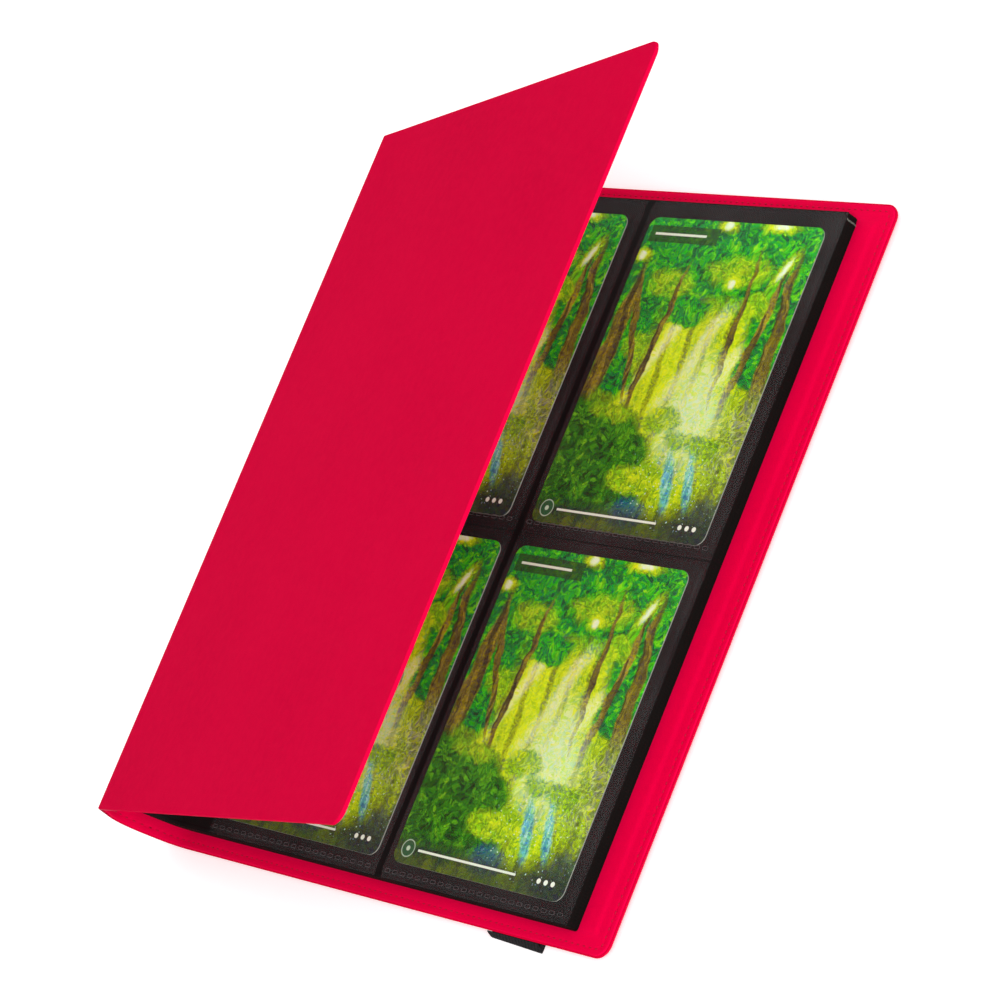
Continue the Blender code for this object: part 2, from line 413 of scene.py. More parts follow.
fleece, fleece_tree, fleece_shader = new_material("white needled fleece", 0.95, 0.2)
fibres = add(fleece_tree, "ShaderNodeTexNoise", {"Scale": 900.0, "Detail": 4.0, "Distortion": 1.5})
fleece_ramp = add(fleece_tree, "ShaderNodeValToRGB", {"Fac": fibres.outputs["Fac"]})
fleece_ramp.color_ramp.elements[0].color = linear("#C9C6BC")
fleece_ramp.color_ramp.elements[1].color = linear("#E6E4DC")
fleece_bump = add(fleece_tree, "ShaderNodeBump", {"Height": fibres.outputs["Fac"], "Distance": 0.0001})
fleece_tree.links.new(fleece_ramp.outputs[0], fleece_shader.inputs["Base Color"])
fleece_tree.links.new(fleece_bump.outputs[0], fleece_shader.inputs["Normal"])

millboard, board_tree, board_shader = new_material("grey millboard, pressed from waste paper", 0.9, 0.2)
flecks = add(board_tree, "ShaderNodeTexNoise", {"Scale": 1400.0, "Detail": 5.0})
board_ramp = add(board_tree, "ShaderNodeValToRGB", {"Fac": flecks.outputs["Fac"]})
board_ramp.color_ramp.elements[0].color = linear("#8A867C")
board_ramp.color_ramp.elements[1].color = linear("#ABA79C")
board_tree.links.new(board_ramp.outputs[0], board_shader.inputs["Base Color"])


def refinish(node, material):
    """Gives a CAD node a better material."""
    node_mesh = frame["nodes"][node].data
    node_mesh.materials.clear()
    node_mesh.materials.append(material)


refinish("back_cover_board", millboard)
refinish("front_cover_board", millboard)

zones = {
    "back": (0.0, split_lower, "back_cover", "spine_lower", back_flat + 0.0006, base_arc + 0.001),
    "spine": (split_lower, split_upper, "spine_lower", "spine_upper", lower_flat, middle_arc),
    "front": (split_upper, cover_length, "spine_upper", "front_cover", upper_flat, ridge_arc),
}
panels = {"back": ["back_cover"], "spine": ["spine_lower", "spine_upper"], "front": ["front_cover"]}


def hang_on_fold(piece, zone):
    """Bakes the piece's transform into its mesh."""
    _, _, first, second, start, end = zones[zone]
    on_cover(start, 0, 0)
    on_cover(end, 0, 0)
    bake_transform(piece)


for zone, (start, end, *_) in zones.items():
    for layer, levels, inset, material in (
        ("skin", skin_levels, 0.0, outer_leather),
        ("lining", lining_levels, lining_short, inner_leather),
    ):
        strip = cover_layer(f"{zone}_{layer}_strip", start, end, levels, inset, [material, backing])
        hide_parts(*[f"{panel}_{layer}" for panel in panels[zone]])
        hang_on_fold(strip, zone)

spine_fleece = cover_layer(
    "spine_fleece", base_arc - 0.001, upper_flat - 0.0005, fleece_levels, board_inset, [fleece]
)
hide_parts("spine_lower_interlining", "spine_upper_interlining")
hang_on_fold(spine_fleece, "spine")

# ---------------------------------------------------------------------------------------------
# Seam. Dark red polyester thread, lockstitched round both covers and the ends of the spine. It
# shows inside as a row of short stitches, each sunk into the lining.

seam_level = -0.00046
ply = {"Scale": 3000.0, "Detail": 2.0}
thread = two_tone("dark red polyester thread", 0.6, 0.15, ply, "#A4062F", "#C20937")


def repeat_along_edges(name, sizes, make_unit, turned, material):
    """A Geometry Nodes tree that sets one unit after another along the edges of a mesh.

    A turned unit has its own Z along the edge.
    """
    tree = bpy.data.node_groups.new(name, "GeometryNodeTree")
    tree.interface.new_socket("Geometry", in_out="INPUT", socket_type="NodeSocketGeometry")
    for size_name, size in sizes.items():
        socket = tree.interface.new_socket(size_name, in_out="INPUT", socket_type="NodeSocketFloat")
        socket.default_value = size
    tree.interface.new_socket("Geometry", in_out="OUTPUT", socket_type="NodeSocketGeometry")
    given = add(tree, "NodeGroupInput")
    path = add(tree, "GeometryNodeMeshToCurve", {0: given.outputs["Geometry"]})
    points = add(tree, "GeometryNodeCurveToPoints", {"Curve": path.outputs[0]}, mode="LENGTH")
    tree.links.new(given.outputs["Pitch"], points.inputs["Length"])
    placed = add(
        tree, "GeometryNodeInstanceOnPoints",
        {"Points": points.outputs["Points"], "Instance": make_unit(tree, given)},
    )
    if turned:
        tree.links.new(points.outputs["Rotation"], placed.inputs["Rotation"])
    whole = add(tree, "GeometryNodeRealizeInstances", {0: placed.outputs[0]})
    coloured = add(tree, "GeometryNodeSetMaterial", {"Geometry": whole.outputs[0], "Material": material})
    add(tree, "NodeGroupOutput", {0: coloured.outputs[0]})
    return tree


def stitch(tree, given):
    """A short capsule of thread along the path."""
    ball = add(tree, "GeometryNodeMeshUVSphere", {"Segments": 8, "Rings": 6, "Radius": 1.0})
    halves = [
        add(tree, "ShaderNodeMath", {0: given.outputs[key], 1: 0.5}, operation="MULTIPLY").outputs[0]
        for key in ("Thread", "Stitch")
    ]
    size = add(tree, "ShaderNodeCombineXYZ", {0: halves[0], 1: halves[0], 2: halves[1]})
    stretched = add(tree, "GeometryNodeTransform", {"Geometry": ball.outputs[0], "Scale": size.outputs[0]})
    return stretched.outputs[0]


stitch_tree = repeat_along_edges(
    "stitch row", {"Pitch": 0.0021, "Stitch": 0.00095, "Thread": 0.00036}, stitch, True, thread
)


def along_edges(name, paths, tree):
    """Runs a repeating tree along paths of points, and returns the plain mesh it makes."""
    mesh = bpy.data.meshes.new(name)
    points = [p for path in paths for p in path]
    edges, start = [], 0
    for path in paths:
        edges += [(start + i, start + i + 1) for i in range(len(path) - 1)]
        start += len(path)
    mesh.from_pydata(points, edges, [])
    source = bpy.data.objects.new(name + "_path", mesh)
    bpy.context.scene.collection.objects.link(source)
    source.modifiers.new("repeat", "NODES").node_group = tree
    evaluated = source.evaluated_get(bpy.context.evaluated_depsgraph_get())
    result = bpy.data.meshes.new_from_object(evaluated)
    bpy.data.objects.remove(source)
    result.shade_smooth()
    obj = bpy.data.objects.new(name, result)
    bpy.context.scene.collection.objects.link(obj)
    return obj


def seam_path(zone):
    """The seam's lines in one zone: round three sides of a cover, or across both ends of the spine."""
    start, end = zones[zone][:2]
    side = half_cover - seam_inset
    inner_corner = cover_corner - seam_inset
    if zone == "spine":
        return [[on_cover(d, y, seam_level) for d in spaced(start, end, 0.0007)] for y in (-side, side)]
    from_end = [cover_length - d for d in columns(start, end)] if zone == "front" else columns(start, end)
    straight = sorted((d for d in from_end if d > cover_corner), reverse=True)
    bend = [math.radians(a) for a in (0, 22.5, 45, 67.5, 90)]
    turned = [
        (cover_corner - inner_corner * math.sin(a), side - inner_corner * (1 - math.cos(a))) for a in bend
    ]
    half = [(d, side) for d in straight] + turned
    line = half + [(d, -y) for d, y in reversed(half)]
    if zone == "front":
        line = [(cover_length - d, y) for d, y in line]
    return [[on_cover(d, y, seam_level) for d, y in line]]


for zone in zones:
    seam = along_edges(f"{zone}_seam", seam_path(zone), stitch_tree)
    hang_on_fold(seam, zone)

# ---------------------------------------------------------------------------------------------
# Leaves. Black polypropylene film, welded into four pockets on each side of a leaf. Rollers
# emboss it with a fine weave. The stack is a little uneven, and one corner is cut off.

leaf_count = 20
leaf_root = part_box("leaf_01")[0].x
leaf_edge, leaf_half, leaf_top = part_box("leaf_01")[1]
leaf_corner = 0.0008
leaf_drift = 0.00016
cut_in = 0.0004
cut_down = 0.0018
cut_face = 0.0005
cut_face_in = 0.00014
body_of_node = {n: b for b, nodes in frame["record"]["behaviour"]["bodies"].items() for n in nodes}
unevenness = np.random.default_rng(4)


def page_film(name, weave_mm, low, high):
    """Cast polypropylene, embossed with a weave whose raised threads are painted lighter, as a highlight."""
    made, tree, shader = new_material(name, 0.5, 0.05)
    place = add(tree, "ShaderNodeTexCoord").outputs["Object"]
    split = add(tree, "ShaderNodeSeparateXYZ", {"Vector": place})
    waves = []
    for axis in ("X", "Y"):
        turns = 2000 * math.pi / weave_mm
        phase = add(tree, "ShaderNodeMath", {0: split.outputs[axis], 1: turns}, operation="MULTIPLY")
        waves.append(add(tree, "ShaderNodeMath", {0: phase.outputs[0]}, operation="SINE").outputs[0])
    weave = add(tree, "ShaderNodeMath", {0: waves[0], 1: waves[1]}, operation="MULTIPLY")
    cloudy = add(tree, "ShaderNodeTexNoise", {"Vector": place, "Scale": 70.0, "Detail": 3.0})
    # Painted highlight: the colour lightens on the weave's raised threads.
    lift = add(tree, "ShaderNodeMapRange", {"Value": weave.outputs[0], "From Min": -1.0, "To Max": 0.5})
    tone = add(
        tree, "ShaderNodeMath", {0: cloudy.outputs["Fac"], 1: 0.6, 2: lift.outputs[0]},
        operation="MULTIPLY_ADD",
    )
    ramp = add(tree, "ShaderNodeValToRGB", {"Fac": tone.outputs[0]})
    ramp.color_ramp.elements[0].color = linear(low)
    ramp.color_ramp.elements[1].color = linear(high)
    across = add(tree, "ShaderNodeMath", {0: split.outputs["Y"]}, operation="ABSOLUTE").outputs[0]
    along = split.outputs["X"]
    weld_half_width = 0.00025
    welds = 0.0
    for value, weld in (
        (across, 0.0009), (across, leaf_half - 0.0012),
        (along, leaf_edge - 0.0012), (along, leaf_edge - 0.0732),
    ):
        line = add(tree, "ShaderNodeMath", {0: value, 1: weld, 2: weld_half_width}, operation="COMPARE")
        both = add(tree, "ShaderNodeMath", {0: line.outputs[0], 1: welds}, operation="MAXIMUM")
        welds = both.outputs[0]
    welded = add(
        tree, "ShaderNodeMix", {0: welds, 6: ramp.outputs[0], 7: linear("#131213")}, data_type="RGBA"
    )
    tree.links.new(welded.outputs[2], shader.inputs["Base Color"])
    relief = add(
        tree, "ShaderNodeMath", {0: welds, 1: -3.0, 2: weave.outputs[0]}, operation="MULTIPLY_ADD"
    )
    bump = add(tree, "ShaderNodeBump", {"Height": relief.outputs[0], "Distance": 0.00003, "Strength": 0.8})
    tree.links.new(bump.outputs[0], shader.inputs["Normal"])
    return made


black_film = page_film("black embossed polypropylene", 0.85, "#0A0B0B", "#1C1E1D")
cut_film = page_film("black polypropylene, cut edge", 0.85, "#080A09", "#151816")
# Painted highlight: a narrow facet below the cut corner takes a light grey-green, standing in for the glint
# along the corner.
cut_facet_highlight = two_tone(
    "polypropylene cut facet, painted highlight", 0.3, 0.5, {"Scale": 1500.0}, "#4C6058", "#6C8278"
)


def flat_piece(name, outline, low, high, materials):
    """A flat piece: an outline in X and Y between two levels. Its sides take the last material."""
    count = len(outline)
    mesh = bpy.data.meshes.new(name)
    faces = [tuple(range(count)), tuple(range(2 * count - 1, count - 1, -1))]
    faces += [(i, i + count, (i + 1) % count + count, (i + 1) % count) for i in range(count)]
    mesh.from_pydata([(x, y, z) for z in (high, low) for x, y in outline], [], faces)
    for material in materials:
        mesh.materials.append(material)
    for face in mesh.polygons:
        face.material_index = 0 if face.index < 2 else len(materials) - 1
    return finished(name, mesh)


for number in range(1, leaf_count + 1):
    node = f"leaf_{number:02d}"
    low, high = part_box(node)
    drift = unevenness.uniform(0, leaf_drift, 3) * (number > 1)
    right, top, bottom = high.x - drift[0], high.y - drift[1], low.y + drift[2]
    centre_x, centre_y = right - leaf_corner, bottom + leaf_corner
    outline = [(low.x, top), (low.x, bottom)]
    for a in (math.radians(-90 + 22.5 * i) for i in range(5)):
        outline.append((centre_x + leaf_corner * math.cos(a), centre_y + leaf_corner * math.sin(a)))
    outline += [
        (right, top - cut_down - cut_face / 2), (right - cut_face_in, top - cut_down + cut_face / 2),
        (right - cut_in, top),
    ]
    leaf = flat_piece(f"page_{number:02d}", outline, low.z, high.z, [black_film, cut_facet_highlight, cut_film])
    # The facet below the cut corner gets the painted highlight.
    for face in leaf.data.polygons:
        if face.center.x > right - 0.0002 and abs(face.center.y - top + cut_down) < 0.0002:
            face.material_index = 1
    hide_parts(node)
    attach(leaf, body_of_node[node])

# ---------------------------------------------------------------------------------------------
# Bound roots. Behind its hinge each leaf runs on up the inside of the spine. The twenty ends are
# welded together there under a black tape, fixed to the spine.

hinge_gap = 0.00025
root_stagger = 0.000015
root_start = fore_edge - leaf_root + hinge_gap
root_end = lower_flat + 0.0036
root_drift = 0.0003
tape_thickness = 0.0003
tape_width = 0.0045


def bent_strip(name, outline, half_height, material):
    """A strip the height of the pages. Its outline is in distance along the cover and level."""
    count = len(outline)
    points = [on_cover(d, y, level) for y in (-half_height, half_height) for d, level in outline]
    faces = [tuple(range(count)), tuple(range(2 * count - 1, count - 1, -1))]
    faces += [(i, i + count, (i + 1) % count + count, (i + 1) % count) for i in range(count)]
    mesh = bpy.data.meshes.new(name)
    mesh.from_pydata(points, [], faces)
    mesh.materials.append(material)
    return finished(name, mesh)


def root_piece(piece):
    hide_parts("page_binding")
    hang_on_fold(piece, "back")


for number in range(1, leaf_count + 1):
    low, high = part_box(f"leaf_{number:02d}")
    lower, upper = base_fold.z - low.z, base_fold.z - high.z
    steps = spaced(root_start + root_stagger * (leaf_count - number), root_end, 0.0008)
    outline = [(d, lower) for d in steps] + [(d, upper) for d in reversed(steps)]
    drift = unevenness.uniform(0, root_drift)
    root_piece(bent_strip(f"page_root_{number:02d}", outline, leaf_half - drift, black_film))

# The tape lies over the end of the top leaf's root and turns down over the twenty ends.
block_level = base_fold.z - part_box(f"leaf_{leaf_count}")[0].z
tape_level = base_fold.z - leaf_top - 0.00003
tape_inner, tape_outer = root_end + 0.0001, root_end + 0.0001 + tape_thickness
tape_steps = spaced(root_end - tape_width, tape_outer, 0.0007)
tape_outline = [(d, tape_level) for d in tape_steps[:-1]]
tape_outline += [(tape_inner, tape_level), (tape_inner, block_level), (tape_outer, block_level)]
tape_outline += [(d, tape_level - tape_thickness) for d in reversed(tape_steps)]
root_piece(bent_strip("binding_tape", tape_outline, leaf_half, cut_film))

# ---------------------------------------------------------------------------------------------
# Cards. White card stock, printed with a forest scene, varnished and die cut with round corners.
# The cut edge shows the white stock as a bright line. One picture serves all four cards, painted
# from soft patches of brush dabs on a sheet 1 wide.

stock = two_tone("white card stock, die cut", 0.8, 0.3, {"Scale": 2500.0}, "#8E9387", "#B4B8AC")

pocket_places = ("top_right", "bottom_right", "top_left", "bottom_left")
card_corner = 0.003
card_ratio = 88 / 63
picture, paint, picture_shader = new_material("offset print under satin varnish", 0.32, 0.12)
print_uv = add(paint, "ShaderNodeUVMap", uv_map="picture").outputs[0]
sheet_place = add(paint, "ShaderNodeMapping", {"Vector": print_uv, "Scale": (1, card_ratio, 1)}).outputs[0]


def stirred(place, scale, amount):
    """Shifts a place by noise, so that a shape's edge turns leafy or wavy."""
    noise = add(paint, "ShaderNodeTexNoise", {"Vector": place, "Scale": scale, "Detail": 3.0})
    offset = add(
        paint, "ShaderNodeVectorMath", {0: noise.outputs["Color"], 1: (0.5, 0.5, 0.5)}, operation="SUBTRACT"
    )
    return add(
        paint, "ShaderNodeVectorMath", {0: offset.outputs[0], 1: (amount, amount, 0), 2: place},
        operation="MULTIPLY_ADD",
    ).outputs[0]


def patch(place, x, y, wide, high, turn, soft):
    """A soft ellipse: 1 inside, falling to 0 at its edge."""
    turned = (0, 0, math.radians(turn))
    local = add(
        paint, "ShaderNodeMapping",
        {"Vector": place, "Location": (x, y, 0), "Rotation": turned, "Scale": (wide, high, 1)},
        vector_type="TEXTURE",
    )
    fall = add(paint, "ShaderNodeTexGradient", {"Vector": local.outputs[0]}, gradient_type="SPHERICAL")
    return add(
        paint, "ShaderNodeMapRange", {"Value": fall.outputs["Fac"], "From Max": soft},
        interpolation_type="SMOOTHSTEP",
    ).outputs[0]


def bar(x, y, wide, high):
    """A plain rectangle, by its middle and half sizes."""
    local = add(
        paint, "ShaderNodeMapping", {"Vector": sheet_place, "Location": (x, y, 0), "Scale": (wide, high, 1)},
        vector_type="TEXTURE",
    )
    size = add(paint, "ShaderNodeVectorMath", {0: local.outputs[0]}, operation="ABSOLUTE")
    axes = add(paint, "ShaderNodeSeparateXYZ", {0: size.outputs[0]})
    most = add(paint, "ShaderNodeMath", {0: axes.outputs[0], 1: axes.outputs[1]}, operation="MAXIMUM")
    return add(paint, "ShaderNodeMath", {0: most.outputs[0], 1: 1.0}, operation="LESS_THAN").outputs[0]


def dabs(place, scale, colours, clump, stretch=(1, 1, 1)):
    """Brush dabs in several colours, light and dark in clumps."""
    drawn = add(paint, "ShaderNodeMapping", {"Vector": place, "Scale": stretch}).outputs[0]
    cells = add(paint, "ShaderNodeTexVoronoi", {"Vector": drawn, "Scale": scale})
    single = add(paint, "ShaderNodeSeparateColor", {0: cells.outputs["Color"]})
    broad = add(
        paint, "ShaderNodeTexNoise", {"Vector": place, "Scale": scale / 6, "Detail": 5.0, "Roughness": 0.65}
    )
    spread = add(
        paint, "ShaderNodeMapRange", {"Value": broad.outputs["Fac"], "From Min": 0.3, "From Max": 0.7}
    )
    tone = add(
        paint, "ShaderNodeMix", {0: clump, 2: single.outputs[0], 3: spread.outputs[0]}, data_type="FLOAT"
    )
    ramp = add(paint, "ShaderNodeValToRGB", {"Fac": tone.outputs[0]})
    stops = ramp.color_ramp.elements
    while len(stops) < len(colours):
        stops.new(0.5)
    for i, colour in enumerate(colours):
        stops[i].position = i / (len(colours) - 1)
        stops[i].color = linear(colour)
    return ramp.outputs[0]


def product(first, second):
    return add(paint, "ShaderNodeMath", {0: first, 1: second}, operation="MULTIPLY").outputs[0]


def over(colour, mask):
    """Paints a colour over the picture so far."""
    global painted
    mixed = add(paint, "ShaderNodeMix", {0: mask, 6: painted, 7: colour}, data_type="RGBA")
    painted = mixed.outputs[2]


leafy = stirred(stirred(sheet_place, 9.0, 0.10), 45.0, 0.035)
wavy = stirred(sheet_place, 5.0, 0.09)
drizzled = stirred(sheet_place, 30.0, 0.02)
height = add(paint, "ShaderNodeSeparateXYZ", {0: sheet_place}).outputs[1]

# Behind: a glade full of low sun, with far trunks and shafts of light.
painted = dabs(wavy, 26.0, ["#5E8A1E", "#98BE26", "#CCE434", "#EEFA80"], 0.6, (1, 0.35, 1))
glow = patch(wavy, 0.50, 0.78, 0.50, 0.56, 0, 0.9)
over(linear("#E4F86A"), product(glow, 0.6))
far_trunks = add(paint, "ShaderNodeTexWave", {"Vector": wavy, "Scale": 2.9, "Distortion": 2.0, "Detail": 3.0})
trunk_lines = add(
    paint, "ShaderNodeMapRange", {"Value": far_trunks.outputs["Fac"], "From Min": 0.74, "From Max": 0.92}
)
over(linear("#6C7A22"), product(trunk_lines.outputs[0], 0.6))
for x, y, wide, high in ((0.40, 0.92, 0.045, 0.50), (0.58, 0.86, 0.060, 0.55), (0.76, 0.76, 0.045, 0.44)):
    over(linear("#FCFFC4"), product(patch(wavy, x, y, wide, high, -24, 0.8), 0.55))

# The leaves overhead and at both sides, with the sky coming through in a few places.
leafy_height = add(paint, "ShaderNodeSeparateXYZ", {0: leafy}).outputs[1]
canopy_line = add(
    paint, "ShaderNodeMapRange", {"Value": leafy_height, "From Min": 0.94, "From Max": 1.08}
)
canopy = dabs(leafy, 58.0, ["#04301A", "#0E6230", "#2A9C3E", "#5EC23E", "#A4E044"], 0.5)
over(canopy, canopy_line.outputs[0])
for x, y, wide, high in (
    (0.04, 0.92, 0.30, 0.34), (0.98, 0.98, 0.26, 0.28), (0.13, 0.66, 0.16, 0.10), (0.90, 0.76, 0.12, 0.12),
    (0.40, 0.99, 0.16, 0.08),
):
    over(canopy, patch(leafy, x, y, wide, high, 0, 0.35))
sunlit = dabs(leafy, 64.0, ["#4C9A26", "#86C232", "#BCDC3C", "#E6EE66"], 0.5)
for x, y, wide, high in (
    (0.62, 1.18, 0.22, 0.10), (0.26, 1.10, 0.16, 0.08), (0.80, 1.04, 0.12, 0.07), (0.20, 0.82, 0.10, 0.08),
):
    over(sunlit, product(patch(leafy, x, y, wide, high, 0, 0.5), 0.75))
for x, y, wide, high, turn in (
    (0.46, 1.38, 0.035, 0.03, 0), (0.76, 1.39, 0.07, 0.025, 0), (0.86, 1.20, 0.022, 0.08, -28),
    (0.03, 1.22, 0.03, 0.03, 0), (0.60, 1.12, 0.025, 0.03, 20),
):
    over(linear("#E2F03A"), product(patch(leafy, x, y, wide * 2.2, high * 1.7, turn, 0.8), 0.85))
    over(linear("#F4FFDC"), patch(drizzled, x, y, wide, high, turn, 0.8))

# Trees at the sides, and slender ones further off.
bark = dabs(wavy, 60.0, ["#2C2A14", "#57502A", "#857A38", "#B4A654"], 0.4, (1, 0.12, 1))
for x, y, wide, high, turn in (
    (0.045, 0.66, 0.055, 0.62, -3), (0.16, 0.86, 0.024, 0.34, 18), (0.955, 0.76, 0.040, 0.60, 4),
    (0.30, 0.84, 0.020, 0.40, -2), (0.72, 0.90, 0.018, 0.42, 3), (0.84, 0.86, 0.022, 0.40, -8),
):
    over(bark, patch(wavy, x, y, wide, high, turn, 0.3))

# Below: mist over a stream on the right, a thicket on the left, and dark wet ground in front.
mist = patch(wavy, 0.66, 0.52, 0.26, 0.40, 12, 0.8)
over(linear("#E6FCC0"), product(mist, 0.85))
meadow = dabs(leafy, 60.0, ["#5B7A34", "#86A050", "#B6C47E", "#D8DFA6"], 0.5)
over(meadow, product(patch(leafy, 0.98, 0.44, 0.24, 0.32, 0, 0.6), 0.7))
ferns = dabs(leafy, 62.0, ["#2E6A1E", "#5E9C2A", "#98C23A", "#CFE06A"], 0.5, (0.6, 1.2, 1))
for x, y, wide, high in ((0.52, 0.50, 0.14, 0.07), (0.80, 0.40, 0.12, 0.07), (0.64, 0.42, 0.10, 0.05)):
    over(ferns, product(patch(leafy, x, y, wide, high, 0, 0.4), 0.7))
thicket = dabs(leafy, 58.0, ["#0B220C", "#184A16", "#327C20", "#5EA42A", "#A4CE48"], 0.55)
for x, y, wide, high in (
    (0.08, 0.36, 0.28, 0.26), (0.24, 0.40, 0.22, 0.18), (0.36, 0.30, 0.20, 0.17), (0.20, 0.18, 0.42, 0.16),
):
    over(thicket, patch(leafy, x, y, wide, high, 0, 0.3))
lit_green = dabs(leafy, 60.0, ["#5E9E22", "#8CC02C", "#BCD834", "#DDE85A"], 0.5)
over(lit_green, product(patch(leafy, 0.50, 0.24, 0.20, 0.08, 8, 0.4), 0.9))
over(lit_green, product(patch(leafy, 0.22, 0.52, 0.16, 0.05, -6, 0.5), 0.7))
stream = dabs(drizzled, 44.0, ["#2F7F92", "#56AEB6", "#8AD2CE", "#D4F0E6"], 0.4, (2.0, 0.2, 1))
for x, wide in ((0.68, 0.040), (0.80, 0.034)):
    over(stream, product(patch(drizzled, x, 0.24, wide, 0.18, 18, 0.5), 0.85))
deep = dabs(drizzled, 30.0, ["#101A1A", "#1A2A2C", "#2E4448", "#4C5E5A"], 0.5)
over(deep, product(patch(leafy, 1.02, 0.06, 0.34, 0.22, 0, 0.5), 0.9))
over(linear("#2A6C96"), product(patch(drizzled, 0.52, 0.09, 0.14, 0.09, 0, 0.7), 0.8))
dark_foot = add(
    paint, "ShaderNodeMapRange", {"Value": height, "From Min": 0.15, "From Max": 0.07, "To Max": 0.86}
)
over(linear("#20302A"), dark_foot.outputs[0])
drops = add(paint, "ShaderNodeTexVoronoi", {"Vector": drizzled, "Scale": 52.0})
drop_dots = add(
    paint, "ShaderNodeMapRange", {"Value": drops.outputs["Distance"], "From Min": 0.18, "From Max": 0.10}
)
over(linear("#D6F0EC"), product(drop_dots.outputs[0], patch(leafy, 0.72, 0.22, 0.36, 0.26, 0, 0.5)))

# Fine brushwork over the whole picture, each dab a little lighter or darker.
brush = add(paint, "ShaderNodeTexVoronoi", {"Vector": leafy, "Scale": 120.0})
strokes = add(paint, "ShaderNodeSeparateColor", {0: brush.outputs["Color"]}).outputs
dab_colour = add(paint, "ShaderNodeCombineColor", {0: strokes[0], 1: strokes[0], 2: strokes[1]})
worked = add(
    paint, "ShaderNodeMix", {0: 0.5, 6: painted, 7: dab_colour.outputs[0]},
    data_type="RGBA", blend_type="OVERLAY",
)
painted = worked.outputs[2]

# The card's plain furniture: a name bar, a round seal, two rules and three pips, with no lettering.
over(linear("#25391F"), product(bar(0.225, 1.323, 0.20, 0.038), 0.8))
over(linear("#E9EDE0"), bar(0.205, 1.323, 0.150, 0.0055))
for colour, radius, soft in (("#C9D8C4", 0.040, 0.12), ("#2F5A3C", 0.036, 0.12), ("#C9D8C4", 0.012, 0.2)):
    over(linear(colour), patch(sheet_place, 0.07, 0.066, radius, radius, 0, soft))
over(linear("#EDF0E6"), bar(0.42, 0.066, 0.29, 0.005))
for x in (0.845, 0.885, 0.925):
    over(linear("#F4F2EA"), patch(sheet_place, x, 0.064, 0.012, 0.012, 0, 0.15))
inked = add(paint, "ShaderNodeHueSaturation", {"Saturation": 1.15, "Value": 1.25, "Color": painted})
cool = add(
    paint, "ShaderNodeMix", {0: 1.0, 6: inked.outputs[0], 7: linear("#E6FFF4")},
    data_type="RGBA", blend_type="MULTIPLY",
)
paint.links.new(cool.outputs[2], picture_shader.inputs["Base Color"])

for name in pocket_places:
    node = f"card_{name}"
    low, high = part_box(node)
    outline = []
    for x, y, turn in ((high.x, high.y, 0), (low.x, high.y, 90), (low.x, low.y, 180), (high.x, low.y, 270)):
        centre_x = x - math.copysign(card_corner, x - (low.x + high.x) / 2)
        centre_y = y - math.copysign(card_corner, y - (low.y + high.y) / 2)
        for i in range(9):
            a = math.radians(turn + 90 * i / 8)
            outline.append((centre_x + card_corner * math.cos(a), centre_y + card_corner * math.sin(a)))
    card = flat_piece(f"picture_{node}", outline, low.z, high.z, [picture, stock])
    uv = card.data.uv_layers.new(name="picture")
    for loop in card.data.loops:
        at = card.data.vertices[loop.vertex_index].co
        uv.data[loop.index].uv = ((at.x - low.x) / (high.x - low.x), (at.y - low.y) / (high.y - low.y))
    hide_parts(node)
    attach(card, body_of_node[node])

# ---------------------------------------------------------------------------------------------
# Pocket films. Clear polypropylene, welded to the top leaf on three sides and open towards the
# spine. It is drawn over the card and lies a little slack, and is slightly hazy.

film_weld = 0.0018
outer_weld = 0.0009
film_margin = 0.0003
film_rise = 0.001
film_thickness = 0.00008
near_weld = [mm / 1000 for mm in (0, 0.3, 0.6, 0.9, 1.1, 1.3, 1.5, 1.8, 2.0, 2.2, 2.4, 2.8, 3.1, 3.8)]
fine_band = 0.006
clear_film, film_tree, film_shader = new_material("clear cast polypropylene", 0.24, 0.16)
film_place = add(film_tree, "ShaderNodeTexCoord").outputs["Object"]
haze = add(film_tree, "ShaderNodeTexNoise", {"Vector": film_place, "Scale": 45.0, "Detail": 2.0})
haze_mix = add(
    film_tree, "ShaderNodeMix", {0: haze.outputs["Fac"], 6: linear("#6E6C6C"), 7: linear("#949292")},
    data_type="RGBA",
)
film_tree.links.new(haze_mix.outputs[2], film_shader.inputs["Base Color"])
haze_alpha = add(
    film_tree, "ShaderNodeMapRange", {"Value": haze.outputs["Fac"], "To Min": 0.02, "To Max": 0.07}
)
film_tree.links.new(haze_alpha.outputs[0], film_shader.inputs["Alpha"])
pressed_film = two_tone(
    "polypropylene, pressed by the weld", 0.35, 0.4, {"Scale": 2000.0}, "#423F40", "#5A5657"
)


def dash(tree, given):
    """The outline of a small rounded rectangle, lying flat."""
    sides = {"Width": given.outputs["Dash"], "Height": given.outputs["Width"]}
    outline = add(tree, "GeometryNodeCurvePrimitiveQuadrilateral", sides)
    corners = {"Curve": outline.outputs[0], "Count": 3, "Radius": given.outputs["Corner"]}
    soft = add(tree, "GeometryNodeFilletCurve", corners, mode="POLY")
    wire = add(tree, "GeometryNodeCurvePrimitiveCircle", {"Resolution": 4, "Radius": given.outputs["Wire"]})
    return add(
        tree, "GeometryNodeCurveToMesh", {"Curve": soft.outputs[0], "Profile Curve": wire.outputs[0]}
    ).outputs[0]


dash_tree = repeat_along_edges(
    "weld dashes",
    {"Pitch": 0.0029, "Dash": 0.0018, "Width": 0.0009, "Corner": 0.0003, "Wire": 0.00007},
    dash, False, pressed_film,
)


def film_height(x, y, low, high, bottom_weld, top_weld, phase):
    """The film's lower face: down on the leaf at its welds, and in slack waves over the card."""
    from_weld = min(high.x - x - outer_weld, y - low.y - bottom_weld, high.y - y - top_weld)
    lift = smooth(from_weld, 0, film_rise)
    slack = 1 + math.sin(70 * x + phase[0]) * math.sin(55 * y + phase[1]) * 0.6
    slack += 0.4 * math.sin(210 * x - 90 * y + phase[2])
    return leaf_top + 0.00001 + lift * (0.00034 + 0.00004 * slack)


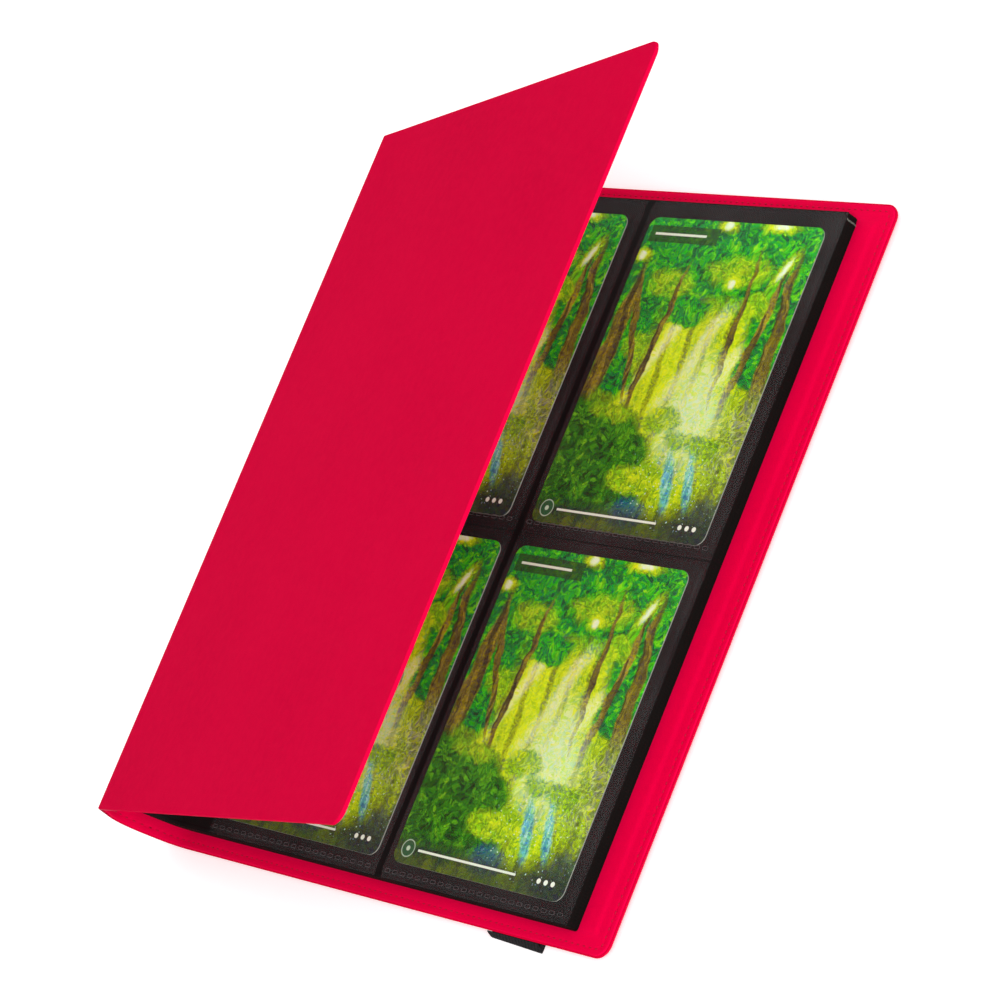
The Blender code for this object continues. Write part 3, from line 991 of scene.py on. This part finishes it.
for name in pocket_places:
    node = f"pocket_film_{name}"
    low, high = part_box(node)
    top_weld = bottom_weld = film_weld
    if "right" in name:
        high.x = leaf_edge - film_margin
    if "top" in name:
        high.y, top_weld = leaf_half - film_margin, outer_weld
    else:
        low.y, bottom_weld = film_margin - leaf_half, outer_weld
    xs = spaced(low.x, high.x - fine_band, 0.003) + [high.x - s for s in reversed(near_weld)]
    ys = [low.y + s for s in near_weld] + spaced(low.y + fine_band, high.y - fine_band, 0.003)
    ys += [high.y - s for s in reversed(near_weld)]
    shape = (low, high, bottom_weld, top_weld, unevenness.uniform(0, 6.3, 3))
    lower = [[(x, y, film_height(x, y, *shape)) for y in ys] for x in xs]
    upper = [[(x, y, z + film_thickness) for x, y, z in row] for row in lower]
    film = between(f"clear_film_{name}", upper, lower, [clear_film])
    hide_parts(node)
    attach(film, "leaf_01")
    dash_y = low.y + bottom_weld + 0.0011
    dash_z = film_height(high.x - 0.01, dash_y, *shape) + film_thickness
    dash_line = [(low.x + 0.002, dash_y, dash_z), (high.x - 0.003, dash_y, dash_z)]
    dashes = along_edges(f"weld_dashes_{name}", [dash_line], dash_tree)
    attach(dashes, "leaf_01")

# ---------------------------------------------------------------------------------------------
# Closing band. Black braided elastic, 18.5 mm wide, that runs under the back cover. Its bottom end
# turns up round the edge and its top end is tucked under it. Each is sewn in by a flat tab.

elastic, elastic_tree, elastic_shader = new_material("black braided elastic", 0.85, 0.2)
elastic_place = add(elastic_tree, "ShaderNodeTexCoord").outputs["Object"]
rib_place = add(elastic_tree, "ShaderNodeSeparateXYZ", {0: elastic_place})
rib_waves = []
for axis, pitch_mm in (("X", 1.15), ("Y", 0.8)):
    turns = 2000 * math.pi / pitch_mm
    rib_phase = add(
        elastic_tree, "ShaderNodeMath", {0: rib_place.outputs[axis], 1: turns}, operation="MULTIPLY"
    )
    rib_wave = add(elastic_tree, "ShaderNodeMath", {0: rib_phase.outputs[0]}, operation="SINE")
    rib_waves.append(rib_wave.outputs[0])
braid = add(
    elastic_tree, "ShaderNodeMath", {0: rib_waves[1], 1: 0.4, 2: rib_waves[0]}, operation="MULTIPLY_ADD"
)
braid_tone = add(
    elastic_tree, "ShaderNodeMapRange", {"Value": braid.outputs[0], "From Min": -1.4, "From Max": 1.4}
)
braid_mix = add(
    elastic_tree, "ShaderNodeMix", {0: braid_tone.outputs[0], 6: linear("#0B0B0C"), 7: linear("#1F1F21")},
    data_type="RGBA",
)
elastic_tree.links.new(braid_mix.outputs[2], elastic_shader.inputs["Base Color"])
braid_bump = add(elastic_tree, "ShaderNodeBump", {"Height": braid.outputs[0], "Distance": 0.00015})
elastic_tree.links.new(braid_bump.outputs[0], elastic_shader.inputs["Normal"])
refinish("band_tab_top", elastic)
refinish("band_tab_bottom", elastic)

band_low, band_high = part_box("elastic_band")
band_width = 0.0185
band_thickness = 0.0012
band_side = [0, 0.0001, 0.0003, 0.0006]


def band_half(name, profile, lean, most_sag):
    """Half the band: a profile of lower and upper points in Y and Z, swept across its width.

    Its end leans towards the spine on its way up, and at the bottom edge it hangs out further on the
    fore-edge side.
    """
    across = band_side + spaced(0.0012, band_width - 0.0012, 0.0023)
    across += [band_width - step for step in reversed(band_side)]
    outer, inner = [], []
    for (y0, z0), (y1, z1) in profile:
        outer_row, inner_row = [], []
        for step in across:
            bulge = quarter_round(min(step, band_width - step) + 0.00012, 0.0003)
            middle_y, middle_z = (y0 + y1) / 2, (z0 + z1) / 2
            low_down = 1 - smooth(middle_z, 0.0006, 0.0017)
            x = band_low.x + step - lean * (0.8 - low_down)
            sag = most_sag * step / band_width * smooth(-middle_y, half_cover - 0.006, half_cover) * low_down
            for row, y, z in ((outer_row, y0, z0), (inner_row, y1, z1)):
                row.append((x, middle_y - sag + (y - middle_y) * bulge, middle_z + (z - middle_z) * bulge))
        outer.append(outer_row)
        inner.append(inner_row)
    half = between(name, outer, inner, [elastic])
    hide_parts("elastic_band")
    x = (band_low.x + band_high.x) / 2
    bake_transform(half)


# Round the bottom edge: how far out and how high the band's outer face is, then its inner face, in mm.
loose = [((y, 0.0), (y, band_thickness)) for y in spaced(0.0, 0.0015 - half_cover, 0.004)]
for out_mm, out_z_mm, in_mm, in_z_mm in (
    (0.0, 0.0, -0.8, 1.2), (0.6, 0.0, -0.3, 1.2), (0.95, 0.03, -0.1, 1.22), (1.15, 0.14, 0.0, 1.27),
    (1.25, 0.32, 0.04, 1.34), (1.18, 0.6, 0.05, 1.42), (0.9, 1.0, 0.05, 1.52), (0.6, 1.38, 0.05, 1.64),
    (0.34, 1.68, 0.05, 1.76), (0.18, 1.84, 0.05, 1.86),
):
    outer_point = (-half_cover - out_mm / 1000, out_z_mm / 1000)
    loose.append((outer_point, (-half_cover - in_mm / 1000, in_z_mm / 1000)))
band_half("elastic_bottom_half", loose, 0.001, 0.0008)

# Under the top edge: the outer face curls up to the cover's underside, and the inner face hardly rises.
turn_radius = band_thickness + 0.0003
tight_y = half_cover - 0.0009
turn_start = tight_y - turn_radius
tight = [((y, 0.0), (y, band_thickness)) for y in spaced(0.0, turn_start, 0.004)]
for i in range(1, 9):
    a = math.radians(90 * i / 8)
    out_z = min(turn_radius * (1 - math.cos(a)), back_low.z - 0.00004)
    inner_point = (turn_start + 0.00017 * i, band_thickness + 0.00002 * i)
    tight.append(((turn_start + turn_radius * math.sin(a), out_z), inner_point))
band_half("elastic_top_half", tight, 0.0, 0.0)
